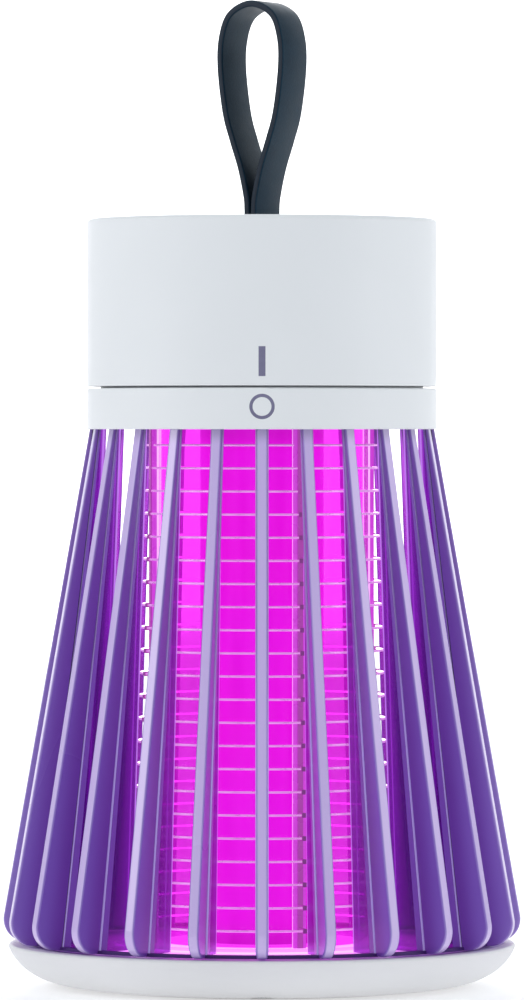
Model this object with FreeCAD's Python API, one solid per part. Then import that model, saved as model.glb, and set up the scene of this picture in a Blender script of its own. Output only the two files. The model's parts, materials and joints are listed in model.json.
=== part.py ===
import FreeCAD, Part
import math
import os

from FreeCAD import Placement, Rotation, Vector

# Rechargeable electric bug zapper lamp that stands on a table or hangs from its strap.
# From the floor up: a dished tray that twists off, a skirt of flared slats round a caged
# UV lamp, a collar, and a head with the battery that turns on the collar as the switch.
# Millimetres, +Z up, front towards -Y, origin on the axis at the foot ring's underside.

# ---- heights ----
dish_bottom = 0.3
deck_bottom = 7.7
deck_top = 9.9
rim_top = 10.2
slat_foot = 10.4
collar_bottom = 135.0
collar_top = 144.9
seam_gap = 0.5
head_bottom = collar_top + seam_gap
head_top = 186.0
strap_pivot = 187.8
strap_top = 239.0

# ---- radii ----
head_radius = 42.5
shell_wall = 2.4
rim_radius = 61.6
slat_top_radius = 41.9
spigot_radius = 39.2

# ---- slats ----
slat_count = 24
slat_lean = 0.1768            # outward run of the outer edge per millimetre of drop
slat_thickness = 2.6
web_thickness = 1.6
bead_thickness = 3.1
slat_corner = 5.5             # radius of the big lower corner
web_inner_top = 39.6
web_inner_bottom = 44.8
step_top = 41.2               # inner side of the thick blade, at the collar
step_bottom = 56.2            # the same, at the foot
groove_width = 0.5
bead_width_top = 0.4
bead_width_bottom = 2.0
cage_ring_inner = 54.5        # ring that ties the slats' feet together
cage_ring_width = 2.0
cage_ring_height = 0.8
tab_inner = 38.4              # locating tab on top of each slat
tab_outer = 40.2
tab_height = 2.0

# ---- wire grid ----
wire_radius = 0.28
wire_pitch = 5.53
wire_count = 22
wire_lowest = 15.05
grid_radius_top = 27.9
grid_lean = 0.0305
post_count = 4
post_first_angle = -71.2      # the post right of centre, seen from the front
post_width = 3.0
post_inner = 26.9
post_outer = 28.3
rib_width = 1.3               # stiffening rib up the outside of each post
rib_depth = 0.4
tooth_width = 1.0             # teeth on the rib that reach out to the flaring wires
tooth_height = 1.1
tooth_margin = 0.5            # tooth left outside the wire that it holds

# ---- lamp ----
sleeve_radius = 25.5
sleeve_wall = 1.0
diffuser_radius = 15.0
diffuser_wall = 1.6

# ---- bayonet between tray and lamp ----
skirt_radius = 31.0
lug_radius = 34.0
lug_count = 3
lug_half_angle = 13.0
tray_turn = 40.0              # turn that brings the lugs over the notches
play = 0.4                    # running gap round moving faces

# ---- strap ----
strap_turn = 30.0             # the loop stands turned by this much on the head
strap_width = 12.0
strap_thickness = 1.6
strap_gap = 0.26              # gap between the two bands where they meet
tail_top = 185.6
pin_height = 180.4
pin_radius = 1.2

# ---- inside the head ----
head_turn = 30.0              # travel of the twist switch
floor_bottom = 151.5
floor_top = 153.5
board_bottom = 156.5
board_top = 158.1
cover_bottom = 184.0
cover_top = 185.4
boss_circle = 36.4
slot_circle = 35.0
port_height = 159.7

parts_folder = "parts"
up = Vector(0, 0, 1)
origin = Vector(0, 0, 0)


def polar(radius, degrees, z=0.0):
    a = math.radians(degrees)
    return Vector(radius * math.cos(a), radius * math.sin(a), z)


def turned(shape, degrees):
    copy = shape.copy()
    copy.rotate(origin, up, degrees)
    return copy


def disc(radius, low, high, x=0.0, y=0.0):
    return Part.makeCylinder(radius, high - low, Vector(x, y, low))


def ring(outer, inner, low, high, x=0.0, y=0.0):
    return disc(outer, low, high, x, y).cut(disc(inner, low, high, x, y))


def box(size_x, size_y, low, high, x=0.0, y=0.0):
    corner = Vector(x - size_x / 2, y - size_y / 2, low)
    return Part.makeBox(size_x, size_y, high - low, corner)


def joined(shapes):
    return shapes[0].multiFuse(shapes[1:]).removeSplitter()


def sector(outer, inner, low, high, start, end):
    """Part of a ring between two angles in degrees."""
    profile = Part.makePolygon([
        Vector(inner, 0, low),
        Vector(outer, 0, low),
        Vector(outer, 0, high),
        Vector(inner, 0, high),
        Vector(inner, 0, low),
    ])
    solid = Part.Face(profile).revolve(origin, up, end - start)
    return turned(solid, start)


def radial_plate(outline, thickness):
    """A plate standing in the XZ plane, centred on it, from a closed wire."""
    face = Part.Face(outline)
    face.translate(Vector(0, -thickness / 2, 0))
    return face.extrude(Vector(0, thickness, 0))


def outline(points):
    """A closed XZ wire from (radius, height) pairs."""
    corners = [Vector(r, 0, z) for r, z in points]
    return Part.makePolygon(corners + corners[:1])


def export(name, shape):
    shape.exportStep(os.path.join(parts_folder, name + ".step"))
    print(name, len(shape.Solids), round(shape.Volume, 1), shape.isValid())


# ---------------------------------------------------------------- tray

dish_flat = 45.8              # radius where the flat base turns up
dish_curve_height = 13.0      # centre of the side's curve, above the rim so that it flares
dish_wall = 2.2
lip_round = 0.7
deck_radius = 58.8
foot_outer = 42.0
foot_inner = 37.0
foot_depth = 1.3
tray_screw_circle = 48.0
tray_screw_angles = [30.0, 150.0, 270.0]


def tray_dish():
    lip_start = rim_top - lip_round
    drop = dish_curve_height - dish_bottom
    bowl_end = 2 * math.pi - math.asin((dish_curve_height - lip_start) / drop)
    bowl = Part.Ellipse(Vector(dish_flat, 0, dish_curve_height),
                        (rim_radius - dish_flat) / math.cos(bowl_end), drop)
    bowl.Axis = Vector(0, -1, 0)
    side = Part.ArcOfEllipse(bowl, 1.5 * math.pi, bowl_end)
    lip_middle = lip_round * (1 - math.sqrt(0.5))
    lip = Part.Arc(Vector(rim_radius, 0, lip_start),
                   Vector(rim_radius - lip_middle, 0, rim_top - lip_middle),
                   Vector(rim_radius - lip_round, 0, rim_top))
    ledge = deck_radius - dish_wall
    floor = dish_bottom + dish_wall
    inside = Part.Arc(Vector(dish_flat, 0, floor),
                      Vector(52.0, 0, floor + 1.3),
                      Vector(ledge, 0, deck_bottom))
    corners = [
        Vector(rim_radius - lip_round, 0, rim_top),
        Vector(deck_radius, 0, rim_top),
        Vector(deck_radius, 0, deck_bottom),
        Vector(ledge, 0, deck_bottom),
    ]
    rim = [Part.makeLine(a, b) for a, b in zip(corners, corners[1:])]
    base = [
        Part.makeLine(Vector(dish_flat, 0, floor), Vector(0, 0, floor)),
        Part.makeLine(Vector(0, 0, floor), Vector(0, 0, dish_bottom)),
        Part.makeLine(Vector(0, 0, dish_bottom), Vector(dish_flat, 0, dish_bottom)),
    ]
    edges = [side.toShape(), lip.toShape(), inside.toShape()] + rim + base
    profile = Part.Wire(Part.__sortEdges__(edges))
    dish = Part.Face(profile).revolve(origin, up, 360)
    for angle in tray_screw_angles:
        spot = polar(tray_screw_circle, angle)
        dish = dish.fuse(disc(3.2, floor - 0.3, deck_bottom - 2.4, spot.x, spot.y))
        dish = dish.cut(disc(1.3, 0, deck_bottom, spot.x, spot.y))
        dish = dish.cut(disc(2.8, 0, dish_bottom + 2.0, spot.x, spot.y))
    return dish.cut(ring(foot_outer, foot_inner, 0, foot_depth))


def catch_deck():
    deck = disc(deck_radius, deck_bottom, deck_top)
    deck = deck.cut(disc(skirt_radius + play, deck_bottom, deck_top))
    for i in range(lug_count):
        middle = i * 360 / lug_count - tray_turn
        notch = sector(lug_radius + play, skirt_radius - 1, deck_bottom, deck_top,
                       middle - lug_half_angle - 2, middle + lug_half_angle + 2)
        deck = deck.cut(notch)
        for start in (lug_half_angle + 1, -tray_turn - lug_half_angle - 5):
            first = i * 360 / lug_count + start
            stop = sector(lug_radius, skirt_radius + play, deck_bottom - 1.8, deck_bottom,
                          first, first + 2.5)
            deck = deck.fuse(stop)
    for angle in tray_screw_angles:
        spot = polar(tray_screw_circle, angle)
        deck = deck.fuse(disc(2.4, deck_bottom - 2.4, deck_bottom, spot.x, spot.y))
        deck = deck.cut(disc(1.25, deck_bottom - 2.4, deck_bottom + 1.2, spot.x, spot.y))
    return deck.removeSplitter()


def tray_screws():
    screws = []
    for angle in tray_screw_angles:
        spot = polar(tray_screw_circle, angle)
        head = disc(2.5, dish_bottom + 0.4, dish_bottom + 2.0, spot.x, spot.y)
        slot = box(3.6, 0.7, dish_bottom + 0.4, dish_bottom + 1.1, spot.x, spot.y)
        cross = box(0.7, 3.6, dish_bottom + 0.4, dish_bottom + 1.1, spot.x, spot.y)
        shank = disc(1.25, dish_bottom + 2.0, deck_bottom + 1.1, spot.x, spot.y)
        screws.append(head.fuse(shank).cut(slot).cut(cross))
    return Part.makeCompound(screws)


def foot_ring():
    return ring(foot_outer, foot_inner, 0, foot_depth)


# ---------------------------------------------------------------- slat skirt

def outer_radius(z):
    return slat_top_radius + slat_lean * (collar_bottom - z)


def rounded_corner(corner, toward_a, toward_b, radius):
    """Start, middle and end of an arc that rounds the corner between two directions."""
    half = math.acos(toward_a.dot(toward_b)) / 2
    reach = radius / math.tan(half)
    middle_line = (toward_a + toward_b).normalize()
    centre = corner + middle_line * (radius / math.sin(half))
    return corner + toward_a * reach, centre - middle_line * radius, corner + toward_b * reach


def blade_wire(inner_top, inner_bottom, inset):
    """Outline of the slat's outer part, with the big rounded lower corner."""
    foot = slat_foot + inset
    corner = Vector(outer_radius(foot) - inset, 0, foot)
    rise = Vector(-slat_lean, 0, 1).normalize()
    start, middle, end = rounded_corner(corner, rise, Vector(-1, 0, 0), slat_corner - inset)
    top_outer = Vector(slat_top_radius - inset, 0, collar_bottom)
    top_inner = Vector(inner_top, 0, collar_bottom)
    bottom_inner = Vector(inner_bottom, 0, foot)
    return Part.Wire([
        Part.makeLine(top_inner, top_outer),
        Part.makeLine(top_outer, start),
        Part.Arc(start, middle, end).toShape(),
        Part.makeLine(end, bottom_inner),
        Part.makeLine(bottom_inner, top_inner),
    ])


def on_outer_edge(edge):
    """True for the long edges that run round the outside of the blade."""
    middle = edge.valueAt((edge.FirstParameter + edge.LastParameter) / 2)
    along = edge.Vertexes[0].Point.sub(edge.Vertexes[-1].Point)
    if abs(along.y) > 0.1 or middle.z > collar_bottom - 0.1:
        return False
    inner = step_top + (step_bottom - step_top) * (collar_bottom - middle.z) / (
        collar_bottom - slat_foot)
    return middle.x > inner + 0.2


def cage_ring():
    return ring(cage_ring_inner + cage_ring_width, cage_ring_inner,
                slat_foot, slat_foot + cage_ring_height)


def slat():
    """One slat in the XZ plane: thick blade, groove, bead, thin web and top tab."""
    blade = radial_plate(blade_wire(step_top, step_bottom, 0.0), slat_thickness)
    blade = blade.makeFillet(0.5, [e for e in blade.Edges if on_outer_edge(e)])
    web = radial_plate(blade_wire(web_inner_top, web_inner_bottom, 0.3), web_thickness)
    bead_top = step_top - groove_width / 2
    bead_foot = step_bottom - groove_width
    bead = radial_plate(outline([
        (bead_top - bead_width_top, collar_bottom),
        (bead_top, collar_bottom),
        (bead_foot, slat_foot + 0.3),
        (bead_foot - bead_width_bottom, slat_foot + 0.3),
    ]), bead_thickness)
    tab = radial_plate(outline([
        (tab_inner, collar_bottom),
        (tab_outer, collar_bottom),
        (tab_outer, collar_bottom + tab_height),
        (tab_inner, collar_bottom + tab_height),
    ]), web_thickness)
    whole = joined([blade, web, bead, tab])
    return whole.cut(cage_ring())


def slat_angle(index):
    return -90 + index * 360 / slat_count


arm_angles = [97.5, 217.5, 337.5]    # between slats, away from the front
arm_width = 3.0
arm_height = 0.6
hub_width = 1.8


def cage_foot_frame():
    """Ring under the slats, with three flat arms in to a hub round the lamp's floor."""
    top = slat_foot + arm_height
    frame = [cage_ring(), ring(lug_radius + hub_width, lug_radius, slat_foot, top)]
    arm_start = lug_radius + hub_width / 2
    arm_end = cage_ring_inner + cage_ring_width / 2
    for angle in arm_angles:
        arm = box(arm_end - arm_start, arm_width, slat_foot, top, (arm_start + arm_end) / 2)
        frame.append(turned(arm, angle))
    return joined(frame)


# ---------------------------------------------------------------- wire grid and lamp

def grid_radius(z):
    return grid_radius_top + grid_lean * (collar_bottom - z)


def wire_height(index):
    return wire_lowest + index * wire_pitch


def wire_ring(index):
    z = wire_height(index)
    return Part.makeTorus(grid_radius(z), wire_radius, Vector(0, 0, z))


def grid_wires(first):
    """Every second ring, so that neighbours are at opposite voltage."""
    return Part.makeCompound([wire_ring(i) for i in range(first, wire_count, 2)])


plate_bottom = collar_bottom
plate_top = collar_bottom + 3.0
base_top = slat_foot + 0.3
flange_bottom = slat_foot - 0.15
socket_depth = 1.6


def post_angles():
    return [post_first_angle + i * 360 / post_count for i in range(post_count)]


def post_bar(low, high):
    return radial_plate(outline([
        (post_inner, low),
        (post_outer, low),
        (post_outer, high),
        (post_inner, high),
    ]), post_width)


def post_rib(low, high):
    return radial_plate(outline([
        (post_inner, low),
        (post_outer + rib_depth, low),
        (post_outer + rib_depth, high),
        (post_inner, high),
    ]), rib_width)


def post_tooth(z):
    reach = grid_radius(z) + tooth_margin
    return radial_plate(outline([
        (post_inner, z - tooth_height / 2),
        (reach, z - tooth_height / 2),
        (reach, z + tooth_height / 2),
        (post_inner, z + tooth_height / 2),
    ]), tooth_width)


def grid_posts():
    """Upright bars with a rib and a comb of teeth; the wires pass through the teeth."""
    bar = post_bar(base_top, plate_bottom + socket_depth)
    teeth = [post_tooth(wire_height(i)) for i in range(wire_count)]
    post = joined([bar, post_rib(base_top, plate_bottom)] + teeth)
    for i in range(wire_count):
        post = post.cut(wire_ring(i))
    return Part.makeCompound([turned(post, a) for a in post_angles()])


def grid_base():
    """Floor under the lamp, with the skirt and lugs that hold the tray."""
    base = disc(lug_radius, flange_bottom, base_top)
    base = base.fuse(disc(skirt_radius, slat_foot - 1.4, base_top))
    base = base.fuse(ring(skirt_radius, skirt_radius - 2, slat_foot - 5.3, flange_bottom))
    for i in range(lug_count):
        middle = i * 360 / lug_count
        lug = sector(lug_radius, skirt_radius - 1, slat_foot - 4.5, deck_bottom - 0.3,
                     middle - lug_half_angle, middle + lug_half_angle)
        base = base.fuse(lug)
    bore = diffuser_radius - diffuser_wall
    spigot = ring(bore, bore - 1.2, base_top, base_top + 1.4)
    return base.fuse(spigot).removeSplitter()


def cage_top_plate():
    plate = ring(spigot_radius + 1.05, diffuser_radius - 3.0, plate_bottom, plate_top)
    groove = ring(sleeve_radius, sleeve_radius - sleeve_wall, plate_bottom,
                  plate_bottom + socket_depth)
    plate = plate.cut(groove)
    plate = plate.cut(disc(diffuser_radius + 1.2, plate_bottom, plate_bottom + socket_depth))
    socket = post_bar(plate_bottom, plate_bottom + socket_depth)
    tab = radial_plate(outline([
        (tab_inner, plate_bottom),
        (tab_outer + 1, plate_bottom),
        (tab_outer + 1, plate_bottom + tab_height),
        (tab_inner, plate_bottom + tab_height),
    ]), web_thickness)
    plate = plate.cut(Part.makeCompound([turned(socket, a) for a in post_angles()]))
    tabs = [turned(tab, slat_angle(i)) for i in range(slat_count)]
    plate = plate.cut(Part.makeCompound(tabs))
    for angle in cage_screw_angles:
        spot = polar(cage_screw_circle, angle)
        plate = plate.cut(disc(1.3, plate_bottom, plate_top, spot.x, spot.y))
        plate = plate.cut(disc(2.5, plate_bottom, plate_bottom + 1.6, spot.x, spot.y))
    return plate


cage_screw_circle = 35.6
cage_screw_angles = [10.0, 130.0, 250.0]
web_top = plate_top + 2.4     # the collar's inner web, which carries plate and contacts


def cage_screws():
    """Screws from below, sunk into the plate, that hold it to the collar's web."""
    screws = []
    head_low = plate_bottom + 0.2
    head_high = plate_bottom + 1.6
    for angle in cage_screw_angles:
        spot = polar(cage_screw_circle, angle)
        head = disc(2.4, head_low, head_high, spot.x, spot.y)
        slot = box(3.4, 0.7, head_low, head_low + 0.7, spot.x, spot.y)
        cross = box(0.7, 3.4, head_low, head_low + 0.7, spot.x, spot.y)
        shank = disc(1.3, head_high, web_top - 0.4, spot.x, spot.y)
        screws.append(head.fuse(shank).cut(slot).cut(cross))
    return Part.makeCompound(screws)


def light_sleeve():
    return ring(sleeve_radius, sleeve_radius - sleeve_wall, base_top,
                plate_bottom + socket_depth)


cap_height = 1.7


def lamp_diffuser():
    tube = disc(diffuser_radius, base_top, plate_bottom - cap_height + socket_depth)
    bore = disc(diffuser_radius - diffuser_wall, base_top, plate_bottom)
    return tube.cut(bore)


def lamp_cap():
    low = plate_bottom - cap_height + socket_depth
    flange = disc(diffuser_radius + 1.2, low, plate_bottom + socket_depth)
    plug = disc(diffuser_radius - diffuser_wall, low - 2.0, low)
    return flange.fuse(plug).removeSplitter()


led_pitch = 14.0
led_count = 8
led_first = 20.0
led_board_width = 18.0
led_board_half = 0.8


def led_board():
    return box(led_board_width, 2 * led_board_half, base_top, plate_bottom - 3.4)


def led_chips():
    chips = []
    for i in range(led_count):
        z = led_first + i * led_pitch
        for side in (-1, 1):
            y = side * (led_board_half + 0.7)
            chip = box(5.0, 1.4, z - 2.5, z + 2.5, 0, y)
            chips.append(chip)
    return Part.makeCompound(chips)


# ---------------------------------------------------------------- collar

shoulder_bottom = collar_top - 2.0
spigot_top = 150.5
spigot_inner = 37.0
slot_flange_inner = 32.6
twist_screw_angles = [30.0, 120.0, 210.0, 300.0]
mark_depth = 0.4
off_mark_height = 140.4
off_mark_outer = 3.02
off_mark_inner = 2.24
on_mark_bottom = 147.6
on_mark_top = 154.7
on_mark_width = 1.65


def inlay(tool):
    """The outermost skin of the casing inside a cutting shape."""
    skin = ring(head_radius, head_radius - mark_depth, collar_bottom, head_top)
    return tool.common(skin)


def off_mark():
    front = Vector(0, -head_radius - 1, off_mark_height)
    outer = Part.makeCylinder(off_mark_outer, 6, front, Vector(0, 1, 0))
    inner = Part.makeCylinder(off_mark_inner, 6, front, Vector(0, 1, 0))
    return inlay(outer.cut(inner))


def on_mark():
    return inlay(box(on_mark_width, 6, on_mark_bottom, on_mark_top, 0, -head_radius))


def soft_outer_edge(shape, z, radius):
    edges = [e for e in shape.Edges
             if abs(e.BoundBox.ZMax - z) < 1e-3 and abs(e.BoundBox.ZMin - z) < 1e-3
             and abs(e.BoundBox.XMax - head_radius) < 1e-3]
    return shape.makeFillet(radius, edges)


def collar_ring():
    wall = ring(head_radius, spigot_radius + 1.1, collar_bottom, collar_top)
    wall = soft_outer_edge(wall, collar_top, 0.35)
    wall = soft_outer_edge(wall, collar_bottom, 0.35)
    shoulder = ring(spigot_radius + 1.5, spigot_inner, shoulder_bottom, collar_top)
    spigot = ring(spigot_radius, spigot_inner, shoulder_bottom, spigot_top)
    flange = ring(spigot_inner + 0.5, slot_flange_inner, spigot_top - 2.4, spigot_top)
    web = ring(spigot_radius + 1.5, 32.8, plate_top, web_top)
    collar = joined([wall, shoulder, spigot, flange, web])
    for angle in twist_screw_angles:
        spot = polar(slot_circle, angle)
        collar = collar.cut(disc(1.2, spigot_top - 2.4, spigot_top, spot.x, spot.y))
    for angle in cage_screw_angles:
        spot = polar(cage_screw_circle, angle)
        collar = collar.cut(disc(1.3, plate_top, web_top - 0.4, spot.x, spot.y))
    return collar.cut(off_mark())


def twist_screws():
    """Shoulder screws that hold the head down and run in its curved slots."""
    screws = []
    for angle in twist_screw_angles:
        spot = polar(slot_circle, angle)
        thread = disc(1.2, spigot_top - 2.4, spigot_top, spot.x, spot.y)
        shoulder = disc(1.5, spigot_top, floor_top + 0.3, spot.x, spot.y)
        head = disc(2.9, floor_top + 0.3, floor_top + 1.9, spot.x, spot.y)
        slot = box(4.0, 0.8, floor_top + 1.2, floor_top + 1.9, spot.x, spot.y)
        cross = box(0.8, 4.0, floor_top + 1.2, floor_top + 1.9, spot.x, spot.y)
        screws.append(joined([thread, shoulder, head]).cut(slot).cut(cross))
    return Part.makeCompound(screws)


def contact_board():
    return ring(34.2, 8.0, web_top, web_top + 1.4)


# ---------------------------------------------------------------- head

shell_inner = head_radius - shell_wall
boss_angles = [45.0, 135.0, 225.0, 315.0]
cover_radius = 38.0
lip_inner = 36.5
pocket_half = 7.0
pocket_low = 154.9
pocket_high = 164.9
pocket_face = 41.2
aperture_half = 5.0
aperture_low = 157.2
aperture_high = 162.2


def head_shell():
    wall = ring(head_radius, shell_inner, head_bottom, head_top)
    wall = soft_outer_edge(wall, head_top, 1.0)
    wall = soft_outer_edge(wall, head_bottom, 0.35)
    foot_lip = ring(shell_inner + 0.5, spigot_radius + play, head_bottom, head_bottom + 2.4)
    ledge = ring(shell_inner + 0.5, lip_inner, cover_bottom - 1.4, cover_bottom)
    rim = ring(shell_inner + 0.5, cover_radius + 0.15, cover_bottom, head_top)
    bosses = []
    for angle in boss_angles:
        spot = polar(boss_circle, angle)
        bosses.append(disc(3.2, floor_top, cover_bottom - 1.0, spot.x, spot.y))
        rib = box(4.0, 2.4, floor_top, cover_bottom - 1.0, boss_circle + 3.0)
        bosses.append(turned(rib, angle))
    shell = joined([wall, foot_lip, ledge, rim] + bosses)
    for angle in boss_angles:
        spot = polar(boss_circle, angle)
        shell = shell.cut(disc(1.2, floor_top, floor_top + 10, spot.x, spot.y))
    pocket = box(2 * pocket_half, 4, pocket_low, pocket_high, 0, pocket_face + 2)
    aperture = box(2 * aperture_half, 6, aperture_low, aperture_high, 0, pocket_face - 1)
    return shell.cut(pocket).cut(aperture).cut(on_mark())


def head_floor():
    floor = disc(shell_inner, floor_bottom, floor_top)
    floor = floor.cut(disc(6.0, floor_bottom, floor_top))
    for angle in boss_angles:
        spot = polar(boss_circle, angle)
        floor = floor.cut(disc(1.3, floor_bottom, floor_top, spot.x, spot.y))
        floor = floor.cut(disc(2.4, floor_bottom, floor_bottom + 0.9, spot.x, spot.y))
    shank = 1.5 + play
    for angle in twist_screw_angles:
        slot = sector(slot_circle + shank, slot_circle - shank, floor_bottom, floor_top,
                      angle - head_turn, angle)
        floor = floor.cut(slot)
        for end in (angle - head_turn, angle):
            spot = polar(slot_circle, end)
            floor = floor.cut(disc(shank, floor_bottom, floor_top, spot.x, spot.y))
    for x, y in board_screw_spots:
        floor = floor.fuse(disc(2.6, floor_top, board_bottom, x, y))
    return floor.removeSplitter()


board_screw_spots = [(-22.0, 18.0), (22.0, 18.0), (-22.0, -18.0), (22.0, -18.0)]


def head_screws():
    screws = []
    for angle in boss_angles:
        spot = polar(boss_circle, angle)
        cap = disc(2.3, floor_bottom + 0.1, floor_bottom + 0.9, spot.x, spot.y)
        shank = disc(1.25, floor_bottom + 0.9, floor_top, spot.x, spot.y)
        thread = disc(1.2, floor_top, floor_top + 10, spot.x, spot.y)
        screws.append(joined([cap, shank, thread]))
    return Part.makeCompound(screws)


def circuit_board():
    tongue = box(16.0, 20.0, board_bottom, board_top, 0, 28.4)
    return disc(32.0, board_bottom, board_top).fuse(tongue).removeSplitter()


def usb_socket():
    """Charging socket: a steel shell round a thin contact tongue."""
    front = Vector(0, 39.2, port_height)
    body = Part.makeBox(9.0, 7.4, 3.2, Vector(-4.5, front.y - 7.4, port_height - 1.6))
    body = body.makeFillet(1.3, [e for e in body.Edges if abs(e.BoundBox.YLength - 7.4) < 0.01])
    mouth = Part.makeBox(8.2, 6.2, 2.4, Vector(-4.1, front.y - 6.2, port_height - 1.2))
    mouth = mouth.makeFillet(0.9, [e for e in mouth.Edges if abs(e.BoundBox.YLength - 6.2) < 0.01])
    tongue = Part.makeBox(6.6, 5.6, 0.7, Vector(-3.3, front.y - 6.4, port_height - 0.35))
    return body.cut(mouth).fuse(tongue).removeSplitter()


battery_y = -12.0
battery_z = 168.2
battery_radius = 9.1
battery_half = 32.5


def battery():
    """One 18650 cell lying across the head."""
    start = Vector(-battery_half, battery_y, battery_z)
    cell = Part.makeCylinder(battery_radius, 2 * battery_half, start, Vector(1, 0, 0))
    rims = [e for e in cell.Edges if abs(e.BoundBox.XLength) < 0.01]
    cell = cell.makeFillet(0.8, rims)
    button = Part.makeCylinder(2.8, 1.0, Vector(battery_half, battery_y, battery_z),
                               Vector(1, 0, 0))
    return cell.fuse(button).removeSplitter()


def battery_cradle():
    """Two saddles on the circuit board that carry the cell."""
    saddles = []
    for x in (-20.0, 20.0):
        block = box(5.0, 22.0, board_top, battery_z + 2.0, x, battery_y)
        bore = Part.makeCylinder(battery_radius, 10, Vector(x - 5, battery_y, battery_z),
                                 Vector(1, 0, 0))
        mouth = box(6.0, 2 * battery_radius - 1.0, battery_z, battery_z + 3.0, x, battery_y)
        saddles.append(block.cut(bore).cut(mouth))
    return Part.makeCompound(saddles)


def boost_transformer():
    core = box(16.0, 14.0, board_top, board_top + 12.0, -12.0, 15.0)
    coil = Part.makeCylinder(7.6, 9.0, Vector(-16.5, 15.0, board_top + 7.8), Vector(1, 0, 0))
    return core.fuse(coil).removeSplitter()


def storage_capacitor():
    can = disc(5.0, board_top, board_top + 14.0, 10.0, 15.0)
    return can.makeFillet(0.7, [e for e in can.Edges if e.BoundBox.ZLength < 0.01])


def contact_fingers():
    """Leaf contacts under the head floor that wipe the rings of the contact board."""
    fingers = []
    for radius, angle in ((12.0, 90.0), (19.5, 90.0), (27.5, 90.0)):
        leg = box(0.5, 3.0, web_top + 1.8, floor_bottom, radius)
        foot = box(4.0, 3.0, web_top + 1.75, web_top + 2.15, radius + 1.75)
        fingers.append(turned(joined([leg, foot]), angle))
    return Part.makeCompound(fingers)


def strap_frame(shape):
    """Turns a piece built across X into the strap's own direction."""
    return turned(shape, -strap_turn)


def top_cover():
    """Inset lid with the strap's slot and the two ears that hold its pin."""
    cover = disc(cover_radius, cover_bottom, cover_top)
    rim = [e for e in cover.Edges if e.BoundBox.ZMin > cover_top - 0.01]
    cover = cover.makeFillet(0.3, rim)
    half = strap_thickness + strap_gap / 2
    slot = box(2 * half + 0.5, strap_width + 0.5, cover_bottom, cover_top)
    cover = cover.cut(strap_frame(slot))
    for side in (-1, 1):
        ear = box(7.0, 2.0, pin_height - 3.0, cover_bottom, 0, side * (strap_width / 2 + 1.4))
        hole = Part.makeCylinder(pin_radius, 2 * strap_width,
                                 Vector(0, -strap_width, pin_height), Vector(0, 1, 0))
        cover = cover.fuse(strap_frame(ear.cut(hole)))
    return cover.removeSplitter()


def strap_pin():
    half = strap_width / 2 + 2.4
    start = Vector(0, -half, pin_height)
    return strap_frame(Part.makeCylinder(pin_radius, 2 * half, start, Vector(0, 1, 0)))


def strap_tail():
    """The strap's two ends inside the head, wrapped round the pin."""
    half = strap_thickness + strap_gap / 2
    bands = box(2 * half, strap_width, pin_height, tail_top)
    eye = Part.makeCylinder(pin_radius + strap_thickness, strap_width,
                            Vector(0, -strap_width / 2, pin_height), Vector(0, 1, 0))
    hole = Part.makeCylinder(pin_radius, strap_width,
                             Vector(0, -strap_width / 2, pin_height), Vector(0, 1, 0))
    return strap_frame(bands.fuse(eye).cut(hole).removeSplitter())


# ---------------------------------------------------------------- strap loop

# Half of the loop's middle line as (distance from its own axis, height): a long drop shape.
loop_line = [
    (0.93, strap_pivot),
    (1.20, strap_pivot + 3.8),
    (2.75, strap_pivot + 10.6),
    (5.05, strap_pivot + 17.4),
    (7.05, strap_pivot + 24.2),
    (8.45, strap_pivot + 35.0),
    (8.10, strap_pivot + 42.3),
    (5.75, strap_pivot + 47.9),
    (0.00, strap_top - strap_thickness / 2),
]


def half_loop(offset):
    """Right half of the drop curve, from its foot to its top, moved outward by an offset."""
    middle = Part.BSplineCurve()
    middle.interpolate(Points=[Vector(x, 0, z) for x, z in loop_line],
                       InitialTangent=up, FinalTangent=Vector(-1, 0, 0))
    steps = 24
    first = middle.FirstParameter
    span = middle.LastParameter - first
    points = []
    for i in range(steps + 1):
        at = first + span * i / steps
        tangent = middle.tangent(at)[0]
        normal = Vector(tangent.z, 0, -tangent.x)
        points.append(middle.value(at) + normal * offset)
    curve = Part.BSplineCurve()
    curve.interpolate(Points=points, InitialTangent=up, FinalTangent=Vector(-1, 0, 0))
    return curve.toShape()


def strap_loop():
    outer = half_loop(strap_thickness / 2)
    inner = half_loop(-strap_thickness / 2)
    face = Part.makeRuledSurface(outer, inner)
    face.translate(Vector(0, -strap_width / 2, 0))
    right = face.extrude(Vector(0, strap_width, 0))
    left = turned(right, 180)
    foot = Part.makeCylinder(strap_thickness + strap_gap / 2, strap_width,
                             Vector(0, -strap_width / 2, strap_pivot), Vector(0, 1, 0))
    return strap_frame(right.fuse([left, foot]).removeSplitter())


# ---------------------------------------------------------------- port cover

hinge_y = 42.0
hinge_z = 164.1
flap_low = 155.2
flap_half = 6.7
flap_back = 41.5


def port_cover():
    """Rubber flap over the charging port, hinged along its top edge."""
    plate = box(2 * flap_half, 3, flap_low, hinge_z, 0, flap_back + 1.5)
    plate = plate.common(disc(head_radius, flap_low, hinge_z))
    knuckle = Part.makeCylinder(0.5, 2 * flap_half, Vector(-flap_half, hinge_y, hinge_z),
                                Vector(1, 0, 0))
    plug = box(8.6, 1.2, port_height - 1.8, port_height + 1.8, 0, flap_back - 0.5)
    return joined([plate, knuckle, plug])


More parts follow.
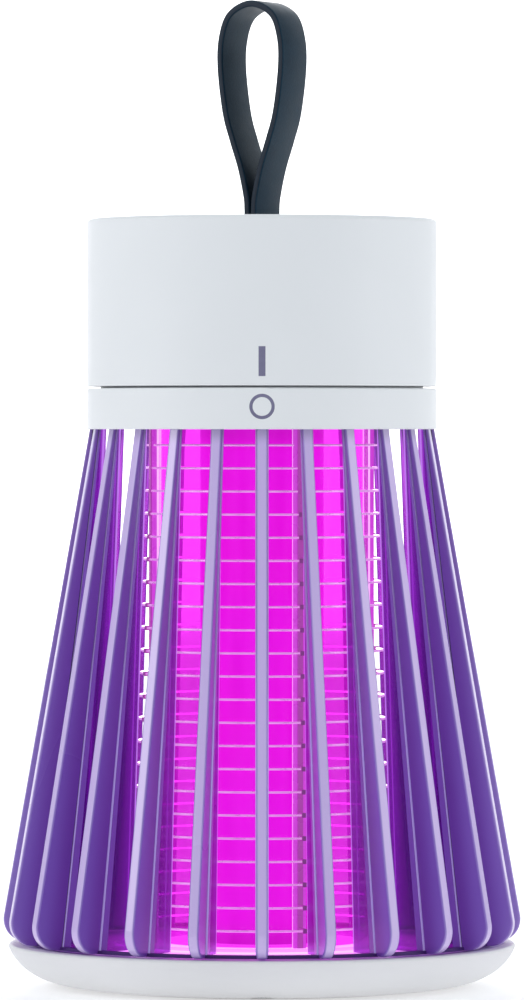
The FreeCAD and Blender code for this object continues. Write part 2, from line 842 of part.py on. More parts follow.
os.makedirs(parts_folder, exist_ok=True)
export("tray_dish", tray_dish())
export("catch_deck", catch_deck())
export("tray_screws", tray_screws())
export("foot_ring", foot_ring())
one_slat = slat()
for number in range(slat_count):
    export("slat_%02d" % (number + 1), turned(one_slat, slat_angle(number)))
export("cage_foot_frame", cage_foot_frame())
export("cage_top_plate", cage_top_plate())
export("cage_screws", cage_screws())
export("grid_base", grid_base())
export("grid_posts", grid_posts())
export("grid_wires_live", grid_wires(0))
export("grid_wires_return", grid_wires(1))
export("light_sleeve", light_sleeve())
export("lamp_diffuser", lamp_diffuser())
export("lamp_cap", lamp_cap())
export("led_board", led_board())
export("led_chips", led_chips())
export("collar_ring", collar_ring())
export("off_mark", off_mark())
export("contact_board", contact_board())
export("twist_screws", twist_screws())
export("head_shell", head_shell())
export("on_mark", on_mark())
export("head_floor", head_floor())
export("head_screws", head_screws())
export("circuit_board", circuit_board())
export("usb_socket", usb_socket())
export("battery", battery())
export("battery_cradle", battery_cradle())
export("boost_transformer", boost_transformer())
export("storage_capacitor", storage_capacitor())
export("contact_fingers", contact_fingers())
export("top_cover", top_cover())
export("strap_pin", strap_pin())
export("strap_tail", strap_tail())
export("strap_loop", strap_loop())
export("port_cover", port_cover())
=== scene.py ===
import json
import math

import bmesh
import bpy
from mathutils import Matrix, Vector


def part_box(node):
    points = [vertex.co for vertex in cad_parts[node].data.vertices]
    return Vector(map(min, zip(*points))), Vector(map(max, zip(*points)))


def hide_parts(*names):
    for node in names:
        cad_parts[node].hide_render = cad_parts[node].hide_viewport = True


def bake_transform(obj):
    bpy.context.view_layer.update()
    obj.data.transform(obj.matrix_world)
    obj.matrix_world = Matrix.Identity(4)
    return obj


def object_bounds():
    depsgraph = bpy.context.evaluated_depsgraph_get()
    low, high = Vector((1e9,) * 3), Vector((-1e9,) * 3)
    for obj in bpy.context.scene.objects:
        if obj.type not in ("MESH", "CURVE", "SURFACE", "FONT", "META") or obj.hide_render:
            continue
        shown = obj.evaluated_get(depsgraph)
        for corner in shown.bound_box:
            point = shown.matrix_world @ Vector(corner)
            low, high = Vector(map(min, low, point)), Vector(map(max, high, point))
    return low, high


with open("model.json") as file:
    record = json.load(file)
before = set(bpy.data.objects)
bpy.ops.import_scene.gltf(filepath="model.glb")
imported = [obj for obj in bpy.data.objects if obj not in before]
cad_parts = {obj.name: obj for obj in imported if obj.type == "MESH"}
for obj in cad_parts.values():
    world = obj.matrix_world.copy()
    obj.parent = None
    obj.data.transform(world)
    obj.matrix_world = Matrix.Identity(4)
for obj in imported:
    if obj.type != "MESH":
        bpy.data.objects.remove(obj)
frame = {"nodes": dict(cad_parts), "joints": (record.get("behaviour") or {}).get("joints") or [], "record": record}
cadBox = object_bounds()
nodes = frame["nodes"]
print("frame loaded:", len(nodes), "CAD nodes")

# Metres throughout, in the CAD's own frame: +Z up, front towards -Y.
mm = 0.001


# Shader helpers.

class Channel:
    # A shader output that takes part in sums like a number.
    def __init__(self, tree, socket):
        self.tree = tree
        self.socket = socket

    def maths(self, operation, *others):
        made = self.tree.nodes.new("ShaderNodeMath")
        made.operation = operation
        for place, value in zip(made.inputs, (self,) + others):
            plug(self.tree, place, value)
        return Channel(self.tree, made.outputs[0])

    def node(self, kind, inputs, **settings):
        made = self.tree.nodes.new("ShaderNode" + kind)
        for name, value in settings.items():
            setattr(made, name, value)
        for name, value in inputs.items():
            plug(self.tree, made.inputs[name], value)
        return Channel(self.tree, made.outputs[0])

    def __add__(self, other):
        return self.maths("ADD", other)

    def __sub__(self, other):
        return self.maths("SUBTRACT", other)

    def __rsub__(self, other):
        return (self * -1.0) + other

    def __mul__(self, other):
        return self.maths("MULTIPLY", other)

    def __truediv__(self, other):
        return self.maths("DIVIDE", other)

    def __abs__(self):
        return self.maths("ABSOLUTE")

    def __pow__(self, other):
        return self.maths("POWER", other)

    def ramp(self, low, high, start=0.0, end=1.0):
        # Smooth step from start at low to end at high.
        return self.node("MapRange", {
            "Value": self, "From Min": low, "From Max": high, "To Min": start, "To Max": end,
        }, interpolation_type="SMOOTHSTEP")

    def mixed(self, first, second):
        # Colour between first and second by this channel's value.
        made = self.tree.nodes.new("ShaderNodeMix")
        made.data_type = "RGBA"
        plug(self.tree, made.inputs[0], self)
        plug(self.tree, made.inputs[6], first)
        plug(self.tree, made.inputs[7], second)
        return Channel(self.tree, made.outputs[2])


def plug(tree, place, value):
    if isinstance(value, Channel):
        tree.links.new(value.socket, place)
    elif isinstance(value, (tuple, list)) and place.type == "RGBA" and len(value) == 3:
        place.default_value = (*value, 1.0)
    else:
        place.default_value = value


class Paint:
    # One material: a principled shader with the object's coordinates at hand.
    def __init__(self, name, **uniform):
        self.material = bpy.data.materials.new(name)
        self.material.use_nodes = True
        self.tree = self.material.node_tree
        self.tree.nodes.clear()
        self.shader = self.tree.nodes.new("ShaderNodeBsdfPrincipled")
        self.output = self.tree.nodes.new("ShaderNodeOutputMaterial")
        self.tree.links.new(self.shader.outputs[0], self.output.inputs["Surface"])
        for socket, value in uniform.items():
            self.set(socket.replace("_", " "), value)
        coordinates = self.tree.nodes.new("ShaderNodeTexCoord")
        self.place = Channel(self.tree, coordinates.outputs["Object"])
        self.normal = Channel(self.tree, coordinates.outputs["Normal"])
        self.x, self.y, self.z = self.split(self.place)

    def set(self, socket, value):
        plug(self.tree, self.shader.inputs[socket], value)

    def split(self, vector):
        made = self.tree.nodes.new("ShaderNodeSeparateXYZ")
        self.tree.links.new(vector.socket, made.inputs[0])
        return [Channel(self.tree, out) for out in made.outputs]

    def radius(self):
        return (self.x * self.x + self.y * self.y) ** 0.5

    def noise(self, size, detail=3.0, rough=0.5, stretch=(1.0, 1.0, 1.0)):
        # Noise between 0 and 1 whose features are about size metres across.
        spread = self.place.node("Mapping", {"Vector": self.place, "Scale": stretch})
        return spread.node("TexNoise", {
            "Vector": spread, "Scale": 1.0 / size, "Detail": detail, "Roughness": rough,
        })

    def cells(self, size):
        return self.place.node("TexVoronoi", {"Vector": self.place, "Scale": 1.0 / size})

    def see(self, tint, cover):
        # Lets tinted light straight through wherever cover leaves room.
        clear = self.tree.nodes.new("ShaderNodeBsdfTransparent")
        plug(self.tree, clear.inputs["Color"], tint)
        both = self.tree.nodes.new("ShaderNodeMixShader")
        plug(self.tree, both.inputs[0], cover)
        self.tree.links.new(clear.outputs[0], both.inputs[1])
        self.tree.links.new(self.shader.outputs[0], both.inputs[2])
        self.tree.links.new(both.outputs[0], self.output.inputs["Surface"])

    def bump(self, height, depth, strength=0.5):
        bumped = height.node("Bump", {"Height": height, "Strength": strength, "Distance": depth})
        self.set("Normal", bumped)


# Materials. Each builder takes a name and a dictionary of colours and sizes.

def mouldedWhite(name, look):
    paint = Paint(name, IOR=1.45, Specular_IOR_Level=0.2)
    wide = paint.noise(look["cloud"], 2.0)
    fine = paint.noise(4 * mm, 3.0, 0.5)
    paint.set("Base Color", wide.ramp(0.3, 0.7).mixed(look["dark"], look["light"]))
    paint.set("Roughness", fine.ramp(0.3, 0.7, look["rough"] - 0.03, look["rough"] + 0.04))
    return paint.material


def litWhite(name, look):
    # White plastic near the lamp, given a painted glow: emission standing in for the lamp's light on it, strongest
    # near the lamp and fading outwards.
    paint = Paint(name, IOR=1.45, Specular_IOR_Level=0.3, Emission_Strength=1.0)
    mottle = paint.noise(12 * mm, 3.0).ramp(0.3, 0.7)
    near = paint.radius().ramp(look["far"], look["near"])
    base = mottle.mixed(look["dark"], look["light"])
    paint.set("Base Color", near.mixed(look.get("outer", base), base))
    # Painted light: glow colour by distance from the lamp's axis.
    paint.set("Emission Color", near.mixed(look["glowFar"], look["glowNear"]))
    paint.set("Roughness", mottle * 0.08 + look["rough"])
    return paint.material


def slatViolet(name, look):
    # Tinted plastic: a thick blade whose outer edge is painted pale as edge glow, a groove darkened with painted
    # shade, a bead lightened with painted light and a painted highlight line, then a thin clearer web towards the
    # lamp, darkened with painted shade, with a painted highlight line along its inner edge; emission paints the
    # lamp's light over it.
    paint = Paint(name, IOR=1.49, Emission_Strength=1.0, Coat_Roughness=0.32, Coat_IOR=1.75)
    radius = paint.radius()
    drop = look["topHeight"] - paint.z
    outer = drop * look["lean"] + look["topRadius"]
    step = drop * look["stepLean"] + look["stepTop"]
    inner = drop * look["innerLean"] + look["innerTop"]
    beadStart = drop * look["grooveLean"] + look["grooveTop"]
    beadEnd = beadStart + drop * look["beadLean"] + look["beadTop"]
    inward = outer - radius
    past = step - radius
    nx, ny = paint.split(paint.normal)[:2]
    side = abs((ny * paint.x - nx * paint.y) / radius)
    edge = side.ramp(0.80, 0.30)  # 0 on the blade's flat sides
    # Rim: the blade's outer edge, which is painted pale as edge glow.
    rim = edge * inward.ramp(look["rimEnd"], look["rimEnd"] - 2.0 * mm)
    web = (past - beadEnd).ramp(0.0, 0.15 * mm)
    groove = past.ramp(-0.05 * mm, 0.10 * mm) * (past - beadStart).ramp(0.05 * mm, -0.10 * mm)
    bead = past.ramp(0.1 * mm, 0.3 * mm) * (1.0 - web)
    # Painted highlight line on the bead's faces that look outwards or inwards.
    beadHighlight = bead * edge
    shade = past.ramp(-look["shadeDepth"], -0.5 * mm)
    # Painted highlight line along the web's inner edge.
    innerHighlight = (radius - inner).ramp(look["lineWidth"] * 2, look["lineWidth"]) * (1.0 - edge)
    cloud = paint.noise(look["cloud"], 1.0, 0.4, (1.0, 1.0, 0.35)).ramp(0.1, 0.9)
    face = cloud.mixed(look["faceDark"], look["faceLight"])
    face = (shade * 0.65).mixed(face, look["faceShade"])
    # Painted shade: the web is darkened where it lies between the slats.
    face = web.mixed(face, look["web"])
    # Painted light: the bead is lightened as if lit by the lamp.
    face = bead.mixed(face, look["bead"])
    # Painted shade: the groove is near black.
    face = groove.mixed(face, look["groove"])
    face = beadHighlight.mixed(face, look["beadHighlight"])
    # Painted edge glow on the rim, lightest along its middle as a painted highlight.
    tone = side.ramp(0.05, 0.5).mixed(look["rimHighlight"], look["rimDark"])
    shadow = drop.ramp(0.0, look["shadowDepth"], look["shadow"], 0.0)
    paint.set("Base Color", shadow.mixed(rim.mixed(face, tone), look["groove"]))
    # Emission is painted light: the lamp's glow on faces and web, stronger towards the web's inner edge, with
    # painted highlights on the bead and inner edge and a dim glow on the rim.
    glow = shade.mixed(look["glowFace"], look["glowShade"])
    warm = (radius - inner).ramp(look["warmDepth"], 0.5 * mm)
    glow = web.mixed(glow, warm.mixed(look["glowWeb"], look["glowWarm"]))
    glow = groove.mixed(glow, look["glowNone"])
    glow = (edge * web).mixed(glow, look["glowNone"])
    glow = beadHighlight.mixed(glow, look["glowBead"])
    glow = innerHighlight.mixed(glow, look["glowLine"])
    paint.set("Emission Color", rim.mixed(glow, look["rimGlow"]))
    paint.set("Roughness", cloud * 0.05 + 0.26)
    paint.set("Coat Weight", 1.0)
    cover = web * (1.0 - innerHighlight)
    paint.see(look["tint"], cover.ramp(0.0, 1.0, 1.0, look["webCover"]))
    return paint.material


def gridPost(name, look):
    # Bar that carries the wires: clear plastic whose magenta colour and emission are painted light from the lamp,
    # with a rib down the middle darkened as painted shade, a painted highlight on the brink beside the lamp and
    # dark sides on its comb teeth.
    paint = Paint(name, IOR=1.49, Emission_Strength=1.0)
    turn = math.radians(look["angle"])
    along = paint.x * math.cos(turn) + paint.y * math.sin(turn)
    across = paint.y * math.cos(turn) - paint.x * math.sin(turn)
    nx, ny = paint.split(paint.normal)[:2]
    faceAlong = abs(nx * math.cos(turn) + ny * math.sin(turn))
    faceAcross = abs(ny * math.cos(turn) - nx * math.sin(turn))
    onAlong = abs(along).maths("GREATER_THAN", abs(across))
    offset = abs(along).maths("MINIMUM", abs(across))
    flank = onAlong * faceAcross + (1.0 - onAlong) * faceAlong
    reach = abs(along).maths("MAXIMUM", abs(across))
    rib = offset.ramp(look["ribHalf"] + 0.15 * mm, look["ribHalf"] - 0.05 * mm)
    tooth = reach.ramp(look["barOuter"] + 0.5 * mm, look["barOuter"] + 0.7 * mm)
    inside = reach.ramp(look["barInner"] + 0.6 * mm, look["barInner"] + 0.3 * mm)
    brink = flank.ramp(0.6, 0.9) * inside
    # Painted shade: the rib is darker than the rest of the bar.
    base = rib.mixed(look["light"], look["dark"])
    tooth = tooth * flank.ramp(0.7, 0.3)
    paint.set("Base Color", tooth.mixed(base, look["tooth"]))
    # Emission is painted light from the lamp: a dimmer glow on the rib and a painted highlight on the brink.
    glow = rib.mixed(look["glowLight"], look["glowDark"])
    glow = (brink * (1.0 - rib)).mixed(glow, look["glowBrink"])
    paint.set("Emission Color", tooth.mixed(glow, look["glowTooth"]))
    paint.set("Roughness", paint.noise(5 * mm, 2.0).ramp(0.3, 0.7, 0.22, 0.34))
    return paint.material


def litWire(name, look):
    # Steel tinted pink, with an emission glow painted in as the lamp's light on it, brightest on the side towards
    # the lamp.
    paint = Paint(name, Metallic=1.0, Emission_Strength=1.0)
    wear = paint.noise(look["grain"], 2.0, 0.5)
    nx, ny = paint.split(paint.normal)[:2]
    inwards = (nx * paint.x + ny * paint.y) / paint.radius() * -1.0
    paint.set("Base Color", wear.ramp(0.3, 0.7).mixed(look["dark"], look["light"]))
    paint.set("Roughness", wear.ramp(0.3, 0.7, look["rough"] - 0.04, look["rough"] + 0.06))
    # Painted light: glow brighter on the side facing the lamp.
    paint.set("Emission Color", inwards.ramp(0.2, 0.7).mixed(look["glowOut"], look["glowIn"]))
    return paint.material


def glowingTube(name, look):
    paint = Paint(name, Emission_Strength=look["power"], Roughness=0.5)
    paint.set("Base Color", look["base"])
    ends = abs(paint.z - look["middle"]).ramp(look["half"] - 6 * mm, look["half"])
    drift = paint.noise(30 * mm, 1.0).ramp(0.3, 0.7)
    colour = drift.mixed(look["glow"], look["glowWarm"])
    paint.set("Emission Color", ends.mixed(colour, look["glowEnd"]))
    return paint.material


def clearSleeve(name, look):
    # Mostly a tinted pane, with a share of haze that glows.
    paint = Paint(name, IOR=1.45, Emission_Strength=look["power"], Base_Color=look["base"])
    streak = paint.noise(3 * mm, 2.0, 0.5, (1.0, 1.0, 0.1))
    paint.set("Roughness", streak.ramp(0.3, 0.7, 0.05, 0.14))
    paint.set("Emission Color", look["glow"])
    haze = streak.ramp(0.2, 0.8, look["haze"] - 0.03, look["haze"] + 0.03)
    paint.see(look["tint"], haze)
    return paint.material


def plainMetal(name, look):
    paint = Paint(name, Metallic=1.0)
    wear = paint.noise(look["grain"], 4.0, 0.6)
    paint.set("Base Color", wear.ramp(0.3, 0.7).mixed(look["dark"], look["light"]))
    paint.set("Roughness", wear.ramp(0.3, 0.7, look["rough"] - 0.06, look["rough"] + 0.08))
    paint.bump(wear, 0.01 * mm, 0.3)
    return paint.material


def softSkin(name, look):
    # Rubber or leatherette: pebbled grain over broad unevenness.
    paint = Paint(name, IOR=1.45, Specular_IOR_Level=look.get("shine", 0.5),
                  Specular_Tint=look.get("shineTint", (1.0, 1.0, 1.0)))
    grain = paint.cells(look["grain"])
    broad = paint.noise(6 * mm, 3.0)
    tone = (broad * 0.6 + grain * 0.4).ramp(0.15, 0.75)
    colour = tone.mixed(look["dark"], look["light"])
    if "edge" in look:
        turn = math.radians(look["turn"])
        nx, ny = paint.split(paint.normal)[:2]
        sideways = abs(ny * math.cos(turn) - nx * math.sin(turn))
        colour = sideways.ramp(0.75, 0.95).mixed(colour, look["edge"])
    paint.set("Base Color", colour)
    paint.set("Roughness", broad.ramp(0.3, 0.7, look["rough"] - 0.06, look["rough"] + 0.06))
    paint.bump(grain * -1.0 + broad * 0.5, look["depth"], 0.5)
    return paint.material


def moulded(name, look):
    # Any other moulding, board or wrap inside: one colour with a slight mottle.
    paint = Paint(name, IOR=1.49, Emission_Strength=look.get("power", 0.0))
    mottle = paint.noise(look.get("mottle", 4 * mm), 3.0).ramp(0.3, 0.7)
    paint.set("Base Color", mottle.mixed(look["dark"], look["light"]))
    paint.set("Roughness", mottle * 0.08 + look["rough"])
    paint.set("Emission Color", look.get("glow", (0.0, 0.0, 0.0)))
    return paint.material


def paleFloor(name, look):
    paint = Paint(name, Emission_Strength=look["power"], Emission_Color=look["glow"])
    mottle = paint.noise(80 * mm, 2.0).ramp(0.3, 0.7)
    paint.set("Base Color", mottle.mixed(look["dark"], look["light"]))
    paint.set("Roughness", mottle * 0.06 + look["rough"])
    return paint.material


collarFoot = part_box("collar_ring")[0].z
tubeLow, tubeHigh = (corner.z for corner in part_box("lamp_diffuser"))
strapTurn = -30.0  # degrees about Z, from facing sideways

looks = {
    "whiteShell": (mouldedWhite, {
        "dark": (0.82, 0.835, 0.855), "light": (0.84, 0.855, 0.875),
        "cloud": 60 * mm, "rough": 0.40,
    }),
    "whiteTray": (mouldedWhite, {
        "dark": (0.77, 0.77, 0.78), "light": (0.81, 0.81, 0.82),
        "cloud": 50 * mm, "rough": 0.42,
    }),
    # Lamp floor: pale plastic with a painted glow from the lamp, strongest near the middle.
    "lampFloor": (litWhite, {
        "dark": (0.70, 0.62, 0.74), "light": (0.76, 0.68, 0.80), "rough": 0.35,
        "near": 15 * mm, "far": 34 * mm,
        "glowNear": (0.80, 0.20, 0.76), "glowFar": (0.78, 0.30, 0.78),
    }),
    # Foot frame: its inner arms painted pale and glowing as painted light from the lamp; beyond 54 mm it turns
    # dark violet.
    "litFrame": (litWhite, {
        "dark": (0.60, 0.54, 0.68), "light": (0.66, 0.60, 0.74), "rough": 0.30,
        "near": 49 * mm, "far": 54 * mm, "outer": (0.06, 0.025, 0.15),
        "glowNear": (0.62, 0.18, 0.62), "glowFar": (0.005, 0.0, 0.01),
    }),
    # Catch deck: a painted glow from the lamp near the middle, fading outwards.
    "litDeck": (litWhite, {
        "dark": (0.55, 0.50, 0.64), "light": (0.60, 0.55, 0.70), "rough": 0.30,
        "near": 38 * mm, "far": 52 * mm,
        "glowNear": (0.70, 0.24, 0.70), "glowFar": (0.02, 0.01, 0.05),
    }),
    "slatViolet": (slatViolet, {
        "topHeight": collarFoot, "topRadius": 41.9 * mm, "lean": 0.1768,
        "stepTop": 41.2 * mm, "stepLean": 0.1204, "innerTop": 39.6 * mm, "innerLean": 0.0417,
        "grooveTop": 0.25 * mm, "grooveLean": 0.0020, "beadTop": 0.4 * mm, "beadLean": 0.0128,
        "faceDark": (0.170, 0.090, 0.400), "faceLight": (0.220, 0.120, 0.470),
        "faceShade": (0.110, 0.045, 0.280), "web": (0.055, 0.014, 0.130),
        "bead": (0.240, 0.150, 0.500), "beadHighlight": (0.500, 0.420, 0.780),
        "groove": (0.012, 0.006, 0.045),
        "rimHighlight": (0.54, 0.41, 0.74), "rimDark": (0.33, 0.24, 0.58),
        "glowFace": (0.035, 0.016, 0.100), "glowShade": (0.035, 0.006, 0.080),
        "glowWeb": (0.020, 0.001, 0.045), "glowWarm": (0.130, 0.006, 0.250),
        "glowLine": (0.500, 0.180, 0.780),
        "glowNone": (0.002, 0.000, 0.006), "glowBead": (0.190, 0.135, 0.320),
        "rimGlow": (0.03, 0.02, 0.06),
        "tint": (0.86, 0.26, 1.00), "webCover": 0.54,
        "rimEnd": 5.5 * mm, "shadeDepth": 6 * mm, "lineWidth": 0.3 * mm, "warmDepth": 4.5 * mm,
        "shadowDepth": 4 * mm, "shadow": 0.45, "cloud": 40 * mm,
    }),
    "cageViolet": (moulded, {
        "dark": (0.05, 0.02, 0.12), "light": (0.08, 0.03, 0.18), "rough": 0.3,
    }),
    "lampGlow": (glowingTube, {
        "power": 1.1, "base": (0.02, 0.001, 0.02), "glow": (0.887, 0.0030, 0.871),
        "glowWarm": (0.900, 0.0040, 0.800), "glowEnd": (0.600, 0.003, 0.560),
        "middle": (tubeLow + tubeHigh) / 2, "half": (tubeHigh - tubeLow) / 2,
    }),
    "clearSleeve": (clearSleeve, {
        "power": 1.4, "base": (0.10, 0.01, 0.10), "glow": (1.0, 0.03, 0.98),
        "tint": (0.82, 0.41, 0.82), "haze": 0.10,
    }),
    "wireSteel": (litWire, {
        "dark": (0.46, 0.28, 0.48), "light": (0.56, 0.38, 0.58), "rough": 0.28, "grain": 3 * mm,
        "glowOut": (0.42, 0.13, 0.42), "glowIn": (2.6, 2.2, 2.4),
    }),
    "screwSteel": (plainMetal, {
        "dark": (0.42, 0.42, 0.43), "light": (0.62, 0.62, 0.64), "rough": 0.30, "grain": 0.6 * mm,
    }),
    "contactCopper": (plainMetal, {
        "dark": (0.55, 0.30, 0.12), "light": (0.75, 0.45, 0.20), "rough": 0.30, "grain": 1.5 * mm,
    }),
    "postClear": (gridPost, {
        "angle": -71.2, "ribHalf": 0.65 * mm, "barInner": 26.9 * mm, "barOuter": 28.3 * mm,
        "dark": (0.16, 0.03, 0.18), "light": (0.30, 0.06, 0.32), "tooth": (0.12, 0.03, 0.14),
        "glowDark": (0.28, 0.03, 0.26), "glowLight": (0.42, 0.02, 0.46),
        "glowBrink": (0.85, 0.50, 0.85), "glowTooth": (0.12, 0.012, 0.12),
    }),
    "boardGreen": (moulded, {
        "dark": (0.02, 0.12, 0.06), "light": (0.04, 0.18, 0.09), "rough": 0.3,
    }),
    "chipYellow": (moulded, {
        "dark": (0.80, 0.60, 0.10), "light": (0.90, 0.72, 0.20), "rough": 0.3,
        "power": 1.0, "glow": (0.5, 0.02, 0.6),
    }),
    "markGrey": (moulded, {
        "dark": (0.165, 0.155, 0.26), "light": (0.19, 0.18, 0.29), "rough": 0.4,
    }),
    "cellWrap": (moulded, {"dark": (0.03, 0.12, 0.32), "light": (0.05, 0.17, 0.42), "rough": 0.25}),
    "coilDark": (moulded, {"dark": (0.03, 0.03, 0.03), "light": (0.12, 0.10, 0.04), "rough": 0.5}),
    "canBlue": (moulded, {"dark": (0.02, 0.03, 0.09), "light": (0.04, 0.05, 0.13), "rough": 0.25}),
    "footRubber": (softSkin, {
        "dark": (0.010, 0.010, 0.011), "light": (0.030, 0.030, 0.032),
        "rough": 0.7, "grain": 0.5 * mm, "depth": 0.03 * mm,
    }),
    "strapSkin": (softSkin, {
        "dark": (0.003, 0.010, 0.020), "light": (0.008, 0.022, 0.038),
        "edge": (0.028, 0.027, 0.034),
        "rough": 0.36, "grain": 0.45 * mm, "depth": 0.025 * mm, "shine": 0.32,
        "shineTint": (0.35, 0.70, 1.0), "turn": strapTurn,
    }),
    "portRubber": (softSkin, {
        "dark": (0.70, 0.72, 0.75), "light": (0.78, 0.79, 0.82),
        "rough": 0.5, "grain": 0.4 * mm, "depth": 0.01 * mm,
    }),
    "paleFloor": (paleFloor, {
        "dark": (0.86, 0.86, 0.87), "light": (0.89, 0.89, 0.90), "rough": 0.5,
        "power": 0.30, "glow": (1.0, 1.0, 1.0),
    }),
}
materials = {name: build(name, look) for name, (build, look) in looks.items()}
print("materials made:", len(materials))

slotPaint = {
    "white_abs": "whiteShell",
    "tray_white": "whiteTray",
    "slat_violet": "slatViolet",
    "cage_violet": "cageViolet",
    "lamp_floor": "lampFloor",
    "post_dark": "postClear",
    "wire_steel": "wireSteel",
    "sleeve_clear": "clearSleeve",
    "lamp_glow": "lampGlow",
    "board_green": "boardGreen",
    "led_yellow": "chipYellow",
    "mark_grey": "markGrey",
    "screw_steel": "screwSteel",
    "contact_copper": "contactCopper",
    "foot_rubber": "footRubber",
    "cell_wrap": "cellWrap",
    "coil_dark": "coilDark",
    "can_blue": "canBlue",
    "strap_blue_black": "strapSkin",
    "port_rubber": "portRubber",
}
nodePaint = {"catch_deck": "litDeck", "cage_foot_frame": "litFrame"}
for part in frame["record"]["subparts"]:
    piece = nodes[part["node"]]
    paintName = nodePaint.get(part["node"], slotPaint[part["material_slot"]])
    piece.data.materials.clear()
    piece.data.materials.append(materials[paintName])
print("CAD nodes painted")


# The strap.

def newPiece(name, mesh, paintName):
    data = bpy.data.meshes.new(name)
    bmesh.ops.recalc_face_normals(mesh, faces=mesh.faces)
    mesh.to_mesh(data)
    mesh.free()
    for face in data.polygons:
        face.use_smooth = True
    data.materials.append(materials[paintName])
    piece = bpy.data.objects.new(name, data)
    bpy.context.scene.collection.objects.link(piece)
    return piece


def smoothPath(corners, perSpan):
    # Catmull-Rom curve through a closed ring of (across, up) points.
    path = []
    count = len(corners)
    for i in range(count):
        before, here, after, next2 = (corners[(i + k) % count] for k in (-1, 0, 1, 2))
        for step in range(perSpan):
            t = step / perSpan
            path.append(tuple(
                0.5 * (2 * b + (c - a) * t + (2 * a - 5 * b + 4 * c - d) * t * t
                       + (3 * b - a - 3 * c + d) * t * t * t)
                for a, b, c, d in zip(before, here, after, next2)
            ))
    return path


strap = {
    "width": 12.0 * mm, "thickness": 1.6 * mm, "rounding": 0.5 * mm,
    "edgeSteps": 4, "perSpan": 14, "blendLow": 185.6 * mm, "blendHigh": 191.0 * mm,
}
swing = next(joint for joint in frame["joints"] if joint["name"] == "strap_swing")
pivot = swing["pos_m"][2]
pinHeight = sum((c.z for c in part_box("strap_pin")), 0.0) / 2
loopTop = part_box("strap_loop")[1].z - strap["thickness"] / 2

# Right half of the strap's middle line, from under the pin up to the loop's top.
halfLine = [
    (0.0, pinHeight - 2.0 * mm),
    (1.75 * mm, pinHeight - 0.6 * mm),
    (1.45 * mm, pinHeight + 1.6 * mm),
    (0.95 * mm, pinHeight + 3.8 * mm),
    (0.93 * mm, pivot - 1.6 * mm),
    (0.93 * mm, pivot + 0.6 * mm),
    (1.20 * mm, pivot + 3.8 * mm),
    (2.75 * mm, pivot + 10.6 * mm),
    (5.05 * mm, pivot + 17.4 * mm),
    (7.05 * mm, pivot + 24.2 * mm),
    (8.45 * mm, pivot + 35.0 * mm),
    (8.10 * mm, pivot + 42.3 * mm),
    (5.75 * mm, pivot + 47.9 * mm),
    (0.0, loopTop),
]


def roundedStrip(width, thickness, rounding, steps):
    # Outline of the strap's section as (outward, along the width).
    outline = []
    for sideX, sideY, start in ((1, 1, 0), (-1, 1, 90), (-1, -1, 180), (1, -1, 270)):
        for step in range(steps + 1):
            angle = math.radians(start + 90 * step / steps)
            outline.append((
                sideX * (thickness / 2 - rounding) + rounding * math.cos(angle),
                sideY * (width / 2 - rounding) + rounding * math.sin(angle),
            ))
    return outline


def strapBand():
    mirrored = [(-x, z) for x, z in reversed(halfLine[1:-1])]
    path = smoothPath(halfLine + mirrored, strap["perSpan"])
    section = roundedStrip(strap["width"], strap["thickness"], strap["rounding"],
                           strap["edgeSteps"])
    turn = Matrix.Rotation(math.radians(strapTurn), 4, "Z")
    mesh = bmesh.new()
    rings = []
    for i, (x, z) in enumerate(path):
        x1, z1 = path[(i + 1) % len(path)]
        x0, z0 = path[i - 1]
        along = Vector((x1 - x0, 0.0, z1 - z0)).normalized()
        outward = Vector((along.z, 0.0, -along.x))
        spots = [Vector((x, 0.0, z)) + outward * out + Vector((0.0, side, 0.0))
                 for out, side in section]
        rings.append([mesh.verts.new(turn @ spot) for spot in spots])
    for ring, following in zip(rings, rings[1:] + rings[:1]):
        for k in range(len(section)):
            j = (k + 1) % len(section)
            mesh.faces.new((ring[k], ring[j], following[j], following[k]))
    piece = newPiece("strapBand", mesh, "strapSkin")
    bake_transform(piece)
    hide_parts("strap_loop", "strap_tail")


strapBand()
print("strap made")


# Floor, lights and camera.

studio = {
    "level": -0.2 * mm, "floorWide": 16.0, "floorNear": -8.0, "floorFar": 4.0,
    "sweep": 1.5, "wallTop": 5.0,
    "world": (0.86, 0.94, 1.0), "worldPower": 0.50,
}


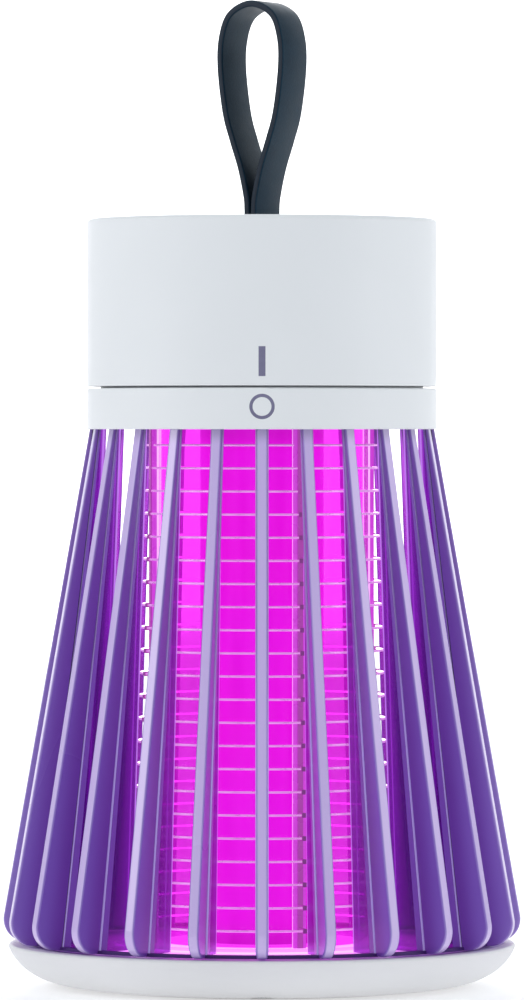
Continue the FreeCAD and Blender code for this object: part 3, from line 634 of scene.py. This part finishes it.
def backdrop():
    mesh = bmesh.new()
    level = studio["level"]
    profile = [(studio["floorNear"], level), (studio["floorFar"], level)]
    steps = 24
    for i in range(1, steps + 1):
        angle = math.radians(90 * i / steps)
        profile.append((studio["floorFar"] + studio["sweep"] * math.sin(angle),
                        studio["sweep"] * (1 - math.cos(angle)) + level))
    profile.append((studio["floorFar"] + studio["sweep"], studio["wallTop"]))
    half = studio["floorWide"] / 2
    rows = [[mesh.verts.new((side, y, z)) for side in (-half, half)] for y, z in profile]
    for near, far in zip(rows, rows[1:]):
        mesh.faces.new((near[0], near[1], far[1], far[0]))
    data = bpy.data.meshes.new("backdrop")
    mesh.to_mesh(data)
    mesh.free()
    for face in data.polygons:
        face.use_smooth = True
    data.materials.append(materials["paleFloor"])
    floor = bpy.data.objects.new("backdrop", data)
    bpy.context.scene.collection.objects.link(floor)


def areaLight(name, place, target, size, power, colour=(1.0, 1.0, 1.0)):
    data = bpy.data.lights.new(name, "AREA")
    data.shape = "RECTANGLE"
    data.size, data.size_y = size
    data.energy = power
    data.color = colour
    light = bpy.data.objects.new(name, data)
    light.location = place
    aim = Vector(target) - Vector(place)
    light.rotation_mode = "QUATERNION"
    light.rotation_quaternion = aim.to_track_quat("-Z", "Y")
    bpy.context.scene.collection.objects.link(light)


backdrop()
middle = (cadBox[0] + cadBox[1]) / 2
areaLight("keyLeft", (-1.7, -0.8, 1.0), middle, (1.0, 1.4), 10.5, (1.0, 0.98, 0.96))
areaLight("fillRight", (1.8, -0.5, 0.7), middle, (1.0, 1.4), 7.5, (1.0, 0.98, 0.96))
areaLight("overhead", (0.0, 0.2, 1.8), middle, (1.6, 1.6), 7.0)
areaLight("backWash", (0.0, 3.2, 1.8), (0.0, 5.2, 0.5), (4.0, 1.0), 110.0)

world = bpy.data.worlds.new("studio")
world.use_nodes = True
background = world.node_tree.nodes["Background"]
background.inputs["Color"].default_value = (*studio["world"], 1.0)
background.inputs["Strength"].default_value = studio["worldPower"]
bpy.context.scene.world = world
bpy.context.scene.view_settings.view_transform = "Standard"

lens = {"distance": 1.664, "height": 134.8 * mm, "aim": 117.8 * mm, "focal": 246.3, "sensor": 36.0}
data = bpy.data.cameras.new("camera")
data.lens = lens["focal"]
data.sensor_width = lens["sensor"]
data.clip_start, data.clip_end = 0.05, 50.0
camera = bpy.data.objects.new("camera", data)
camera.location = (0.0, -lens["distance"], lens["height"])
look = Vector((0.0, 0.0, lens["aim"])) - camera.location
camera.rotation_mode = "QUATERNION"
camera.rotation_quaternion = look.to_track_quat("-Z", "Y")
bpy.context.scene.collection.objects.link(camera)
bpy.context.scene.camera = camera
print("stage ready")

print("done")
